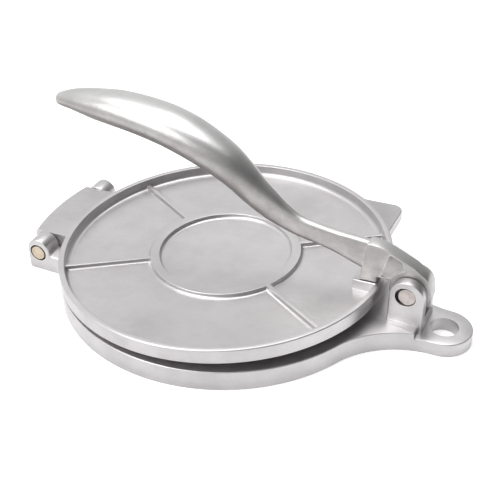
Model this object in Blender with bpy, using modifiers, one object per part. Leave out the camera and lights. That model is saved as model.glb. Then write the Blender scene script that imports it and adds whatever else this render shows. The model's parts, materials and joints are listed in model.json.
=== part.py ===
"""Hand press for flatbreads in cast aluminium: base plate, hinged top plate, lever and two pins.

Metres, +Z up. The origin is the centre of the round base on the table, +X points from the hinge
to the hanging lug, and +Y points to the back. The press is drawn as photographed: the top plate
rests on the base at its hinge side and stands a little open, with the lever's foot on its pad.
"""

from math import acos, asin, atan2, ceil, cos, hypot, pi, radians, sin, sqrt, tan

import bmesh
import bpy
from mathutils import Vector

# Clearances and helper sizes
RUNNING_GAP = 0.0003      # between pieces that touch or turn in one another
CUT_OVERRUN = 0.002       # how far a cutter passes the face that it leaves
MERGE_DISTANCE = 0.00003  # points nearer than this are one
EDGE_ROUND = 0.0008       # rounding of the castings' outer edges
SEGMENTS = 96             # facets of the large turned plates
HOLE_SEGMENTS = 32        # facets of pins and holes
ARC_STEP = radians(7)     # largest turn between two points of an outline's arc
PLATE_STEP = 2 * pi / SEGMENTS
EDGE_ANGLE = radians(50)  # edges sharper than this are rounded
FLAT_ANGLE = radians(0.1)

# Round plates
PLATE_RADIUS = 0.100
BASE_HEIGHT = 0.0127
BASE_FACE = 0.0045        # thickness of the base's pressing face
SKIRT_WALL = 0.0045       # wall that the base stands on
HUB_RADIUS = 0.009        # boss where the underside ribs cross
UNDER_RIB = 0.0032        # width of the underside ribs

# Top plate
LID_HEIGHT = 0.0087
LID_FLOOR = 0.0025        # metal left under the tray
RIM_TOP = 0.0027          # width of the rim's flat top
RIM_DRAFT = 0.0010
RIM_FILLET = 0.0024       # hollow where the rim runs into the tray's floor
FILLET_STEP = radians(30)
RING_SHARE = 0.4275       # middle of the raised ring, as a share of the plate's radius
RING_FOOT = 0.0069        # width of the ring at the tray's floor
RING_CREST = 0.0055
RIB_FOOT = 0.0038         # width of the ribs at the tray's floor
RIB_CREST = 0.0026
RIB_HEIGHT = 0.0025
RING_PROUD = 0.0001       # the ring's crest stands this much over the ribs
RIB_ANGLE = radians(31.5)
LID_OPEN = radians(2.41)  # how far the top plate stands open when it rests at its hinge side

# Hinge
HINGE_STANDOFF = 0.0103   # plate's edge to hinge axis
HINGE_HEIGHT = 0.0122
HINGE_PIN_RADIUS = 0.0047
TONGUE_HALF = 0.0280
BARREL_RADIUS = 0.0080
TONGUE_CORNER = 0.0024
CORNER_START = radians(60)
EAR_THICKNESS = 0.0116
EAR_RADIUS = 0.0076
EAR_REACH = 0.0067        # hinge axis to the ear's outer face
EAR_RISE = 0.0022         # hinge axis to the centre of the ear's round top
EAR_TOE = 0.0018          # hollow where the ear runs into its arm
EAR_LIFT = 0.0006         # the ears stand clear of the table

# Neck and hanging lug
LUG_STANDOFF = 0.0368     # plate's edge to the hanging hole
LUG_RADIUS = 0.0160
LUG_HEIGHT = 0.0089
LUG_HOLE = 0.0082
NECK_LENGTH = 0.0242      # plate's edge to the step down to the lug

# Clevis and pivot
PIVOT_STANDOFF = 0.0159   # plate's edge to the lever's pivot
PIVOT_HEIGHT = 0.0298
PIVOT_PIN_RADIUS = 0.0052
CHEEK_THICKNESS = 0.0064
CHEEK_RADIUS = 0.0102
CHEEK_SPLAY = 0.0012      # how far the clevis widens at its rear foot
SLOT_FLOOR = 0.0135
STOP_HEIGHT = 0.0160      # cross wall behind the slot, where the lever's swing ends
STOP_WALL = 0.0042

# Lever
LEVER_REACH = 0.2269      # pivot to tip, along the press
LEVER_HEIGHT = 0.0728     # pivot to the highest part of the grip's middle line
GRIP_WIDTH = 0.0305
GRIP_THICKNESS = 0.0206
ROOT_THICKNESS = 0.0086
BOSS_RADIUS = 0.0123
PANEL_DEPTH = 0.0010      # hollow in the root's sides
FLANGE_HEIGHT = 0.0013    # solid edge left above and below the hollow
PANEL_INSET = 0.0023      # foot's heel to the hollow's lower corner
PANEL_LEAN = 0.0041       # how far the hollow's front edge leans
FOOT_LENGTH = 0.0102
ROOT_UNDERSIDE = 0.0042   # root's lower edge above the pivot, between foot and boss
LEVER_EDGE = 0.0006

# Lifting tab and pressing pad
TAB_REACH_SHARE = 0.866   # plate centre to the tab's right edge, in plate radii
TAB_DEPTH_SHARE = 0.800   # plate centre to the tab's rear edge, in plate radii
TAB_CORNER = 0.0070
TAB_THICKNESS = 0.0065
PAD_HALF = 0.0060
PAD_LENGTH = 0.0125
PAD_DROP = 0.0002         # pad's face below the rim's top

# Places that follow from the sizes above, from the plate's centre
HINGE_REACH = PLATE_RADIUS + HINGE_STANDOFF
PIVOT_REACH = PLATE_RADIUS + PIVOT_STANDOFF
NECK_REACH = PLATE_RADIUS + NECK_LENGTH
LUG_REACH = PLATE_RADIUS + LUG_STANDOFF
RING_RADIUS = PLATE_RADIUS * RING_SHARE
TONGUE_REACH = sqrt((HINGE_REACH + BARREL_RADIUS) ** 2 + TONGUE_HALF ** 2)
TAB_REACH = PLATE_RADIUS * TAB_REACH_SHARE
TAB_DEPTH = PLATE_RADIUS * TAB_DEPTH_SHARE
FOOT_REACH = PIVOT_STANDOFF + RIM_TOP + PAD_LENGTH / 2

# The lever's middle line and sections, from the tip to the root, as shares of its driving sizes:
# reach, rise, width, thickness, and the exponent of the section's superellipse
LEVER_STATION_SHARES = (
    (1.000, 0.962, 0.06, 0.06, 2.0),
    (0.993, 0.968, 0.24, 0.30, 2.0),
    (0.974, 0.980, 0.40, 0.44, 2.0),
    (0.934, 0.997, 0.58, 0.60, 2.0),
    (0.867, 1.000, 0.78, 0.81, 2.1),
    (0.804, 1.000, 0.90, 0.92, 2.1),
    (0.731, 0.981, 0.98, 0.96, 2.1),
    (0.658, 0.940, 1.00, 1.00, 2.1),
    (0.588, 0.867, 0.96, 1.00, 2.1),
    (0.512, 0.751, 0.82, 0.98, 2.1),
    (0.467, 0.648, 0.66, 0.92, 2.2),
    (0.430, 0.545, 0.51, 0.88, 2.3),
    (0.389, 0.450, 0.38, 0.82, 2.6),
    (0.352, 0.378, 0.28, 0.71, 3.0),
    (0.301, 0.313, 0.21, 0.61, 3.4),
    (0.215, 0.268, 0.20, 0.64, 4.0),
    (0.141, 0.225, 0.20, 0.86, 4.5),
    (0.112, 0.205, 0.20, 0.92, 5.0),
)
SECTION_POINTS = 28
STATION_STEPS = 3

# Upper edge of the lever's root, from the web to the nose, as shares of reach and rise
ROOT_TOP_SHARES = (
    (0.1186, 0.341),
    (0.107, 0.347),
    (0.083, 0.338),
    (0.055, 0.308),
    (0.025, 0.268),
    (-0.005, 0.226),
    (-0.024, 0.185),
    (-0.036, 0.160),
    (-0.043, 0.128),
)

MATERIALS = {
    "cast_aluminium": ((0.60, 0.60, 0.60), 0.42, 0.9),
    "polished_aluminium": ((0.66, 0.66, 0.66), 0.28, 1.0),
    "pivot_steel": ((0.62, 0.58, 0.56), 0.35, 1.0),
    "hinge_steel": ((0.62, 0.53, 0.42), 0.38, 1.0),
}


def clear_scene():
    """Remove what the file holds, so that the script can run again."""
    for item in list(bpy.data.objects):
        bpy.data.objects.remove(item)


def collection(name):
    """A collection linked to the scene, made once."""
    found = bpy.data.collections.get(name)
    if found is None:
        found = bpy.data.collections.new(name)
        bpy.context.scene.collection.children.link(found)
    return found


def material(name):
    """A Principled material with the metal's colour, roughness and metallic value."""
    found = bpy.data.materials.get(name)
    if found is None:
        found = bpy.data.materials.new(name)
        found.use_nodes = True
        colour, roughness, metallic = MATERIALS[name]
        shader = found.node_tree.nodes["Principled BSDF"]
        shader.inputs["Base Color"].default_value = (*colour, 1.0)
        shader.inputs["Roughness"].default_value = roughness
        shader.inputs["Metallic"].default_value = metallic
        found.diffuse_color = (*colour, 1.0)
    return found


def arc(centre, radius, start, end, turn=ARC_STEP):
    """Points of an arc from one angle to another, ends included."""
    steps = max(2, ceil(abs(end - start) / turn))
    angles = [start + (end - start) * step / steps for step in range(steps + 1)]
    return [(centre[0] + radius * cos(angle), centre[1] + radius * sin(angle)) for angle in angles]


def add_object(name, mesh, group="press"):
    """A new object for a mesh, in one of the collections."""
    item = bpy.data.objects.new(name, mesh)
    collection(group).objects.link(item)
    return item


def extruded(name, outline, depth, edge=0.0):
    """A flat outline in X and Y, or a list of them, given depth about its own plane."""
    curve = bpy.data.curves.new(name, "CURVE")
    curve.dimensions = "2D"
    curve.fill_mode = "BOTH"
    curve.extrude = depth / 2 - edge
    curve.bevel_depth = edge
    curve.bevel_resolution = 1
    curve.offset = -edge
    for loop in outline if isinstance(outline[0], list) else [outline]:
        spline = curve.splines.new("POLY")
        spline.points.add(len(loop) - 1)
        for point, (along, across) in zip(spline.points, loop):
            point.co = (along, across, 0, 1)
        spline.use_cyclic_u = True
    drawn = bpy.data.objects.new(name + "_outline", curve)
    collection("press").objects.link(drawn)
    mesh = bpy.data.meshes.new_from_object(drawn.evaluated_get(bpy.context.evaluated_depsgraph_get()))
    mesh.name = name
    bpy.data.objects.remove(drawn)
    bpy.data.curves.remove(curve)
    body = bmesh.new()
    body.from_mesh(mesh)
    bmesh.ops.remove_doubles(body, verts=body.verts, dist=MERGE_DISTANCE)
    bmesh.ops.dissolve_limit(body, angle_limit=FLAT_ANGLE, verts=body.verts, edges=body.edges)
    bmesh.ops.recalc_face_normals(body, faces=body.faces)
    body.to_mesh(mesh)
    body.free()
    return add_object(name, mesh)


def standing(item, across):
    """Turn a flat outline upright, so that its second coordinate is height, at a place in Y."""
    for vertex in item.data.vertices:
        along, height, depth = vertex.co
        vertex.co = (along, across - depth, height)
    return item


def raised(item, height):
    """Lift a piece drawn in plan."""
    for vertex in item.data.vertices:
        vertex.co.z += height
    return item


def turned(name, profile, hollow=False):
    """A profile of radius and height, from top to bottom, turned round Z; a hollow one closes."""
    mesh = bpy.data.meshes.new(name)
    points = [(radius, 0, height) for radius, height in profile]
    edges = [(step, step + 1) for step in range(len(points) - 1)]
    if hollow:
        edges.append((len(points) - 1, 0))
    mesh.from_pydata(points, edges, [])
    item = add_object(name, mesh)
    screw = item.modifiers.new("turned", "SCREW")
    screw.steps = SEGMENTS
    screw.render_steps = SEGMENTS
    screw.use_merge_vertices = True
    screw.merge_threshold = MERGE_DISTANCE
    return item


def drum(name, radius, length, centre, along_y=True, segments=HOLE_SEGMENTS):
    """A cylinder along Y or Z."""
    turn = (pi / 2, 0, 0) if along_y else (0, 0, 0)
    bpy.ops.mesh.primitive_cylinder_add(
        vertices=segments, radius=radius, depth=length, location=centre, rotation=turn)
    item = bpy.context.active_object
    item.name = name
    item.data.name = name
    move_to(item, "press")
    return item


def block(name, low, high):
    """A box between two corners."""
    middle = [(first + last) / 2 for first, last in zip(low, high)]
    bpy.ops.mesh.primitive_cube_add(size=1, location=middle)
    item = bpy.context.active_object
    item.name = name
    item.data.name = name
    item.scale = [last - first for first, last in zip(low, high)]
    bpy.ops.object.transform_apply(location=False, rotation=False, scale=True)
    move_to(item, "press")
    return item


def move_to(item, group):
    """Put an object in one collection only."""
    for old in list(item.users_collection):
        old.objects.unlink(item)
    collection(group).objects.link(item)


def combine(target, tool, operation):
    """Join a tool to the target or cut it away, and put the tool with the cutters."""
    move_to(tool, "cutters")
    tool.display_type = "WIRE"
    tool.hide_render = True
    change = target.modifiers.new(tool.name, "BOOLEAN")
    change.operation = operation
    change.solver = "EXACT"
    change.object = tool
    return target


def join(target, *tools):
    """Cast the tools and the target in one."""
    for tool in tools:
        combine(target, tool, "UNION")
    return target


def cut(target, *tools):
    """Cut the tools out of the target."""
    for tool in tools:
        combine(target, tool, "DIFFERENCE")
    return target


def finish(item, material_name):
    """Give a finished piece its material."""
    item.data.materials.clear()
    item.data.materials.append(material(material_name))
    return item


def base_outline():
    """Plan of the base: the round plate, two hollows that run into the lug, and the lug's end."""
    hollow = (LUG_REACH ** 2 + LUG_RADIUS ** 2 - PLATE_RADIUS ** 2) / (2 * (PLATE_RADIUS - LUG_RADIUS))
    leave = atan2(LUG_RADIUS + hollow, LUG_REACH)
    plate = arc((0, 0), PLATE_RADIUS, leave, 2 * pi - leave, PLATE_STEP)
    lower = arc((LUG_REACH, -LUG_RADIUS - hollow), hollow, pi - leave, pi / 2)
    upper = [(along, -across) for along, across in reversed(lower)]
    lug = arc((LUG_REACH, 0), LUG_RADIUS, -pi / 2, pi / 2)
    return plate + lower[1:] + lug[1:-1] + upper[:-1]


def pocket(inner, outer, start, end):
    """Plan of one pocket between two radii and two ribs that stand at the given angles."""
    half = UNDER_RIB / 2
    near = asin(half / inner)
    far = asin(half / outer)
    return arc((0, 0), outer, start + far, end - far) + arc((0, 0), inner, end - near, start + near)


def underside():
    """The pockets below the base, which leave a ring, crossed ribs and a hub standing."""
    ceiling = BASE_HEIGHT - BASE_FACE
    bands = (
        (HUB_RADIUS, RING_RADIUS - UNDER_RIB / 2),
        (RING_RADIUS + UNDER_RIB / 2, PLATE_RADIUS - SKIRT_WALL),
    )
    ribs = (-RIB_ANGLE, RIB_ANGLE, pi - RIB_ANGLE, pi + RIB_ANGLE, 2 * pi - RIB_ANGLE)
    plans = [pocket(*band, *sector) for band in bands for sector in zip(ribs, ribs[1:])]
    depth = ceiling + CUT_OVERRUN
    return raised(extruded("underside", plans, depth), ceiling - depth / 2)


def round_edges(item, width, angle=EDGE_ANGLE):
    """Round an object's sharp edges."""
    soften = item.modifiers.new("edges", "BEVEL")
    soften.width = width
    soften.segments = 2
    soften.limit_method = "ANGLE"
    soften.angle_limit = angle
    return item


def hinge_ear(side):
    """One hinge ear on its arm, at the front or at the back."""
    outer = -HINGE_REACH - EAR_REACH
    centre = (outer + EAR_RADIUS, HINGE_HEIGHT + EAR_RISE)
    arm_top = BASE_HEIGHT - EDGE_ROUND / 2
    inner = -sqrt(PLATE_RADIUS ** 2 - (TONGUE_HALF + EAR_THICKNESS) ** 2) + SKIRT_WALL / 2
    toe = (centre[0] + EAR_RADIUS + EAR_TOE, arm_top + EAR_TOE)
    outline = [(outer, EAR_LIFT)]
    outline += arc(centre, EAR_RADIUS, pi, 0)
    outline += arc(toe, EAR_TOE, pi, pi * 3 / 2)
    outline += [(inner, arm_top), (inner, EAR_LIFT)]
    ear = extruded("hinge_ear", outline, EAR_THICKNESS, EDGE_ROUND / 2)
    return standing(ear, side * (TONGUE_HALF + RUNNING_GAP + EAR_THICKNESS / 2))


def clevis():
    """The two cheeks that carry the lever, with the cross wall behind their slot."""
    half = ROOT_THICKNESS / 2 + RUNNING_GAP + CHEEK_THICKNESS
    sunk = LUG_HEIGHT / 2
    outline = [(PIVOT_REACH - CHEEK_RADIUS, sunk)]
    outline += arc((PIVOT_REACH, PIVOT_HEIGHT), CHEEK_RADIUS, pi, 0)
    outline += [(PIVOT_REACH + CHEEK_RADIUS, STOP_HEIGHT)]
    outline += [(PIVOT_REACH + CHEEK_RADIUS + CHEEK_SPLAY, sunk)]
    body = standing(extruded("clevis", outline, 2 * half, EDGE_ROUND), 0)
    slot_front = PIVOT_REACH - CHEEK_RADIUS - CUT_OVERRUN
    slot_rear = PIVOT_REACH + CHEEK_RADIUS + CHEEK_SPLAY + CUT_OVERRUN
    slot_top = PIVOT_HEIGHT + CHEEK_RADIUS + CUT_OVERRUN
    wall = PIVOT_REACH + CHEEK_RADIUS - STOP_WALL
    slot = extruded("clevis_slot", [
        (slot_front, SLOT_FLOOR),
        (wall, SLOT_FLOOR),
        (wall, STOP_HEIGHT),
        (slot_rear, STOP_HEIGHT),
        (slot_rear, slot_top),
        (slot_front, slot_top),
    ], ROOT_THICKNESS + 2 * RUNNING_GAP)
    return cut(body, standing(slot, 0))


def loose_hole(name, pin_radius, half_width, centre, lean):
    """A pin's hole, bored wide, so that the pin lies against one side and leaves a crescent."""
    slack = 2 * RUNNING_GAP
    place = (centre[0] + lean * slack, 0, centre[1] + slack)
    return drum(name, pin_radius + RUNNING_GAP + slack, 2 * half_width + 2 * CUT_OVERRUN, place)


def base_plate():
    """The base casting: round plate with neck and hanging lug, hinge ears and clevis."""
    base = raised(extruded("base_plate", base_outline(), BASE_HEIGHT), BASE_HEIGHT / 2)
    reach = LUG_REACH + LUG_RADIUS + CUT_OVERRUN
    low = (NECK_REACH, -LUG_RADIUS - CUT_OVERRUN, LUG_HEIGHT)
    cut(base, block("lug_step", low, (reach, LUG_RADIUS + CUT_OVERRUN, BASE_HEIGHT + CUT_OVERRUN)))
    round_edges(base, EDGE_ROUND)
    cut(base, underside())
    join(base, clevis(), hinge_ear(-1), hinge_ear(1))
    place = (LUG_REACH, 0, LUG_HEIGHT / 2)
    hanging = drum("hanging_hole", LUG_HOLE, LUG_HEIGHT + 2 * CUT_OVERRUN, place, False)
    ear_half = TONGUE_HALF + EAR_THICKNESS
    hinge = loose_hole("hinge_hole", HINGE_PIN_RADIUS, ear_half, (-HINGE_REACH, HINGE_HEIGHT), 1)
    cheek_half = ROOT_THICKNESS / 2 + CHEEK_THICKNESS
    pivot = loose_hole("pivot_hole", PIVOT_PIN_RADIUS, cheek_half, (PIVOT_REACH, PIVOT_HEIGHT), -1)
    cut(base, hanging, hinge, pivot)
    return finish(base, "cast_aluminium")


def lid_bottom():
    """Height of the top plate's underside when level: at rest it just clears the base's edge."""
    return BASE_HEIGHT + RUNNING_GAP - (HINGE_REACH - PLATE_RADIUS) * tan(LID_OPEN)


def tray_profile(bottom):
    """Half section of the top plate, from the tray's middle over the rim to its underside."""
    top = bottom + LID_HEIGHT
    floor = bottom + LID_FLOOR
    rim_inner = PLATE_RADIUS - EDGE_ROUND - RIM_TOP
    fillet = (rim_inner - RIM_DRAFT - RIM_FILLET, floor + RIM_FILLET)
    return [(0, floor)] + arc(fillet, RIM_FILLET, -pi / 2, 0, FILLET_STEP) + [
        (rim_inner - EDGE_ROUND / 2, top - EDGE_ROUND / 2),
        (rim_inner, top),
        (PLATE_RADIUS - EDGE_ROUND, top),
        (PLATE_RADIUS, top - EDGE_ROUND),
        (PLATE_RADIUS, bottom + EDGE_ROUND),
        (PLATE_RADIUS - EDGE_ROUND, bottom),
        (0, bottom),
    ]


def rib_section(crest, foot, floor, height):
    """Section of a raised ring or rib, sunk into the floor below it, as a closed loop."""
    right = [(crest / 2, floor + height), (foot / 2, floor), (foot / 2, floor - LID_FLOOR / 2)]
    return right + [(-across, high) for across, high in reversed(right)]


def ring_and_ribs(floor):
    """The raised ring and the four ribs that run from it to the rim."""
    section = rib_section(RING_CREST, RING_FOOT, floor, RIB_HEIGHT + RING_PROUD)
    ring = turned("ring", [(RING_RADIUS + wide, high) for wide, high in section], hollow=True)
    length = PLATE_RADIUS - RIM_TOP - RING_RADIUS
    pieces = [ring]
    for turn in (RIB_ANGLE, pi - RIB_ANGLE, pi + RIB_ANGLE, 2 * pi - RIB_ANGLE):
        rib = extruded("rib", rib_section(RIB_CREST, RIB_FOOT, floor, RIB_HEIGHT), length)
        for vertex in rib.data.vertices:
            across, height, along = vertex.co
            reach = RING_RADIUS + length / 2 + along
            depth = reach * sin(turn) + across * cos(turn)
            vertex.co = (reach * cos(turn) - across * sin(turn), depth, height)
        pieces.append(rib)
    return pieces


def tongue_end(top):
    """A turned body whose wall and upper corner shape the tongue's outer end."""
    over = top + CUT_OVERRUN
    corner = arc((TONGUE_REACH - TONGUE_CORNER, top - TONGUE_CORNER), TONGUE_CORNER, CORNER_START, 0)
    lean = (over - corner[0][1]) * tan(CORNER_START)
    low = HINGE_HEIGHT - BARREL_RADIUS - CUT_OVERRUN
    profile = [(0, over), (corner[0][0] - lean, over)] + corner + [(TONGUE_REACH, low), (0, low)]
    return turned("tongue_end", profile)


def tongue(bottom):
    """The wide tongue that reaches out from the rim and turns on the hinge pin."""
    top = bottom + LID_HEIGHT
    outer = -TONGUE_REACH - CUT_OVERRUN
    inner = -sqrt(PLATE_RADIUS ** 2 - TONGUE_HALF ** 2) + 2 * RIM_TOP
    outline = [(inner, top), (outer, top), (outer, HINGE_HEIGHT)]
    outline += arc((-HINGE_REACH, HINGE_HEIGHT), BARREL_RADIUS, pi, 2 * pi)
    outline += [(inner, bottom)]
    piece = standing(extruded("tongue", outline, 2 * TONGUE_HALF, EDGE_ROUND / 2), 0)
    combine(piece, tongue_end(top), "INTERSECT")
    height = 2 * LID_HEIGHT
    tray = drum("tongue_tray", PLATE_RADIUS - RIM_TOP / 2, height, (0, 0, top), False, SEGMENTS)
    return cut(piece, tray)


def lifting_tab(bottom):
    """The corner of a square that stands out of the rim at the back right, for the fingers."""
    inside = PLATE_RADIUS - RIM_TOP / 2
    low = asin(sqrt(PLATE_RADIUS ** 2 - TAB_REACH ** 2) / PLATE_RADIUS)
    high = asin(TAB_DEPTH / PLATE_RADIUS)
    outline = [(TAB_REACH, PLATE_RADIUS * sin(low))]
    outline += arc((TAB_REACH - TAB_CORNER, TAB_DEPTH - TAB_CORNER), TAB_CORNER, 0, pi / 2)
    outline += [(PLATE_RADIUS * cos(high), TAB_DEPTH)]
    outline += arc((0, 0), inside, high, low)
    tab = extruded("lifting_tab", outline, TAB_THICKNESS, EDGE_ROUND / 2)
    return raised(tab, bottom + LID_HEIGHT - TAB_THICKNESS / 2)


def pressing_pad(bottom):
    """The raised seat inside the rim that the lever's foot pushes on."""
    outer = PLATE_RADIUS - RIM_TOP
    low = (outer - PAD_LENGTH, -PAD_HALF, bottom + LID_FLOOR / 2)
    high = (outer, PAD_HALF, bottom + LID_HEIGHT - PAD_DROP)
    return round_edges(block("pressing_pad", low, high), EDGE_ROUND)


def all_tools(item):
    """The Boolean modifiers of an object and of the tools that shape it."""
    found = []
    for change in item.modifiers:
        if change.type == "BOOLEAN":
            found.append(change)
            found += all_tools(change.object)
    return found


def hang_on_axis(name, item, reach, height):
    """Parent a moving piece and its tools to an empty on its joint's axis."""
    axis = bpy.data.objects.new(name, None)
    collection("press").objects.link(axis)
    axis.location = (reach, 0, height)
    bpy.context.view_layer.update()
    for held in [item] + [change.object for change in all_tools(item)]:
        held.parent = axis
        held.matrix_parent_inverse = axis.matrix_world.inverted()
    return axis


def top_plate():
    """The top casting: tray with ring and ribs, tongue, lifting tab and pressing pad."""
    bottom = lid_bottom()
    lid = turned("top_plate", tray_profile(bottom))
    tools = ring_and_ribs(bottom + LID_FLOOR)
    tools += [tongue(bottom), lifting_tab(bottom), pressing_pad(bottom)]
    join(lid, *tools)
    bore = HINGE_PIN_RADIUS + RUNNING_GAP
    length = 2 * TONGUE_HALF + 2 * CUT_OVERRUN
    cut(lid, drum("tongue_bore", bore, length, (-HINGE_REACH, 0, HINGE_HEIGHT)))
    hang_on_axis("lid_axis", lid, -HINGE_REACH, HINGE_HEIGHT).rotation_euler.y = -LID_OPEN
    return finish(lid, "cast_aluminium")


def pad_top(reach):
    """Height of the pad's face at a distance from the plate's centre, top plate at rest."""
    face = lid_bottom() + LID_HEIGHT - PAD_DROP - HINGE_HEIGHT
    return HINGE_HEIGHT + face / cos(LID_OPEN) + (HINGE_REACH + reach) * tan(LID_OPEN)


def blend(table, place):
    """A row of a table at a fractional place, on a smooth curve through its rows."""
    start = min(int(place), len(table) - 2)
    share = place - start
    before = table[max(start - 1, 0)]
    after = table[min(start + 2, len(table) - 1)]
    row = []
    for first, left, right, last in zip(before, table[start], table[start + 1], after):
        slope_left = (right - first) / 2
        slope_right = (last - left) / 2
        rise = right - left
        square = 3 * rise - 2 * slope_left - slope_right
        cube = slope_left + slope_right - 2 * rise
        row.append(left + share * (slope_left + share * (square + share * cube)))
    return row


def lever_line():
    """Middle points, sizes and exponents of the lever's sections."""
    count = (len(LEVER_STATION_SHARES) - 1) * STATION_STEPS
    rows = [blend(LEVER_STATION_SHARES, step / STATION_STEPS) for step in range(count + 1)]
    points = [Vector((PIVOT_REACH - along * LEVER_REACH, 0, PIVOT_HEIGHT + high * LEVER_HEIGHT))
              for along, high, *section in rows]
    return points, rows


def grip_and_web():
    """The lever's lofted body: an oval grip that narrows into a tall, thin web."""
    points, rows = lever_line()
    body = bmesh.new()
    rings = []
    for step, (middle, row) in enumerate(zip(points, rows)):
        ahead = points[min(step + 1, len(points) - 1)] - points[max(step - 1, 0)]
        upward = Vector((-ahead.z, 0, ahead.x)).normalized()
        half_width = row[2] * GRIP_WIDTH / 2
        half_height = row[3] * GRIP_THICKNESS / 2
        power = 2 / row[4]
        ring = []
        for corner in range(SECTION_POINTS):
            angle = 2 * pi * corner / SECTION_POINTS
            across = signed_power(cos(angle), power) * half_width
            high = signed_power(sin(angle), power) * half_height
            ring.append(body.verts.new(middle + upward * high + Vector((0, across, 0))))
        rings.append(ring)
    for first, second in zip(rings, rings[1:]):
        for corner in range(SECTION_POINTS):
            following = (corner + 1) % SECTION_POINTS
            body.faces.new((first[corner], first[following], second[following], second[corner]))
    body.faces.new(rings[0])
    body.faces.new(rings[-1])
    bmesh.ops.recalc_face_normals(body, faces=body.faces)
    mesh = bpy.data.meshes.new("lever")
    body.to_mesh(mesh)
    body.free()
    return add_object("lever", mesh)


def signed_power(value, power):
    """A power that keeps the value's sign."""
    return abs(value) ** power if value >= 0 else -abs(value) ** power


def root_outline():
    """Side view of the root: upper edge, nose round the pivot, underside and foot."""
    upper = [(PIVOT_REACH - along * LEVER_REACH, PIVOT_HEIGHT + high * LEVER_HEIGHT)
             for along, high in ROOT_TOP_SHARES]
    high = upper[-1][1] - PIVOT_HEIGHT
    along = upper[-1][0] - PIVOT_REACH
    nose_start = atan2(high, along) - acos(BOSS_RADIUS / hypot(along, high))
    under = PIVOT_HEIGHT + ROOT_UNDERSIDE
    nose_end = -pi - asin(ROOT_UNDERSIDE / BOSS_RADIUS)
    outline = upper + arc((PIVOT_REACH, PIVOT_HEIGHT), BOSS_RADIUS, nose_start, nose_end)
    heel = PIVOT_REACH - FOOT_REACH + FOOT_LENGTH / 2
    toe = heel - FOOT_LENGTH
    outline += [
        (heel, under),
        (heel, pad_top(heel) + RUNNING_GAP),
        (toe, pad_top(toe) + RUNNING_GAP),
    ]
    return outline


def panel_outline():
    """Side view of the hollow in the root's sides, between foot, upper edge and boss."""
    left = PIVOT_REACH - FOOT_REACH + FOOT_LENGTH / 2 + PANEL_INSET
    low = PIVOT_HEIGHT + ROOT_UNDERSIDE + FLANGE_HEIGHT
    upper = [(PIVOT_REACH - along * LEVER_REACH, PIVOT_HEIGHT + high * LEVER_HEIGHT - FLANGE_HEIGHT)
             for along, high in ROOT_TOP_SHARES[3:5]]
    border = BOSS_RADIUS + EDGE_ROUND
    start = atan2(upper[-1][1] - PIVOT_HEIGHT, upper[-1][0] - PIVOT_REACH)
    end = pi - asin((low - PIVOT_HEIGHT) / border)
    outline = [(left, low), (left + PANEL_LEAN, upper[0][1])]
    outline += [point for point in upper if point[0] > left + PANEL_LEAN]
    outline += arc((PIVOT_REACH, PIVOT_HEIGHT), border, start, end)
    return outline


def lever():
    """The lever: lofted grip and web, and the root with its foot, hollows and bore."""
    item = grip_and_web()
    root = standing(extruded("lever_root", root_outline(), ROOT_THICKNESS, LEVER_EDGE), 0)
    join(item, root)
    for side in (-1, 1):
        panel = extruded("lever_panel", panel_outline(), 2 * PANEL_DEPTH)
        cut(item, standing(panel, side * ROOT_THICKNESS / 2))
    length = ROOT_THICKNESS + 2 * CUT_OVERRUN
    bore = PIVOT_PIN_RADIUS + RUNNING_GAP
    cut(item, drum("lever_bore", bore, length, (PIVOT_REACH, 0, PIVOT_HEIGHT)))
    hang_on_axis("lever_axis", item, PIVOT_REACH, PIVOT_HEIGHT)
    return finish(item, "polished_aluminium")


def pin(name, radius, half_length, centre, material_name):
    """A plain pin along Y with chamfered ends."""
    item = drum(name, radius, 2 * half_length, centre)
    return finish(round_edges(item, EDGE_ROUND), material_name)


def build():
    """Model the whole press."""
    clear_scene()
    base_plate()
    top_plate()
    lever()
    hinge_half = TONGUE_HALF + EAR_THICKNESS
    pin("hinge_pin", HINGE_PIN_RADIUS, hinge_half, (-HINGE_REACH, 0, HINGE_HEIGHT), "hinge_steel")
    pivot_half = ROOT_THICKNESS / 2 + CHEEK_THICKNESS - EDGE_ROUND
    pin("pivot_pin", PIVOT_PIN_RADIUS, pivot_half, (PIVOT_REACH, 0, PIVOT_HEIGHT), "pivot_steel")


build()
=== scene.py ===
# %% [markdown]
# # A hand press for flatbreads
# The press is three aluminium castings on two steel pins. The engineering model gives the exact
# places, so this lesson starts by loading it, and then models each casting again with finer edges
# and gives every surface a finish.

# %% Load the engineering model
import json
from math import acos, asin, atan2, ceil, cos, hypot, pi, radians, sin, sqrt, tan

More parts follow.
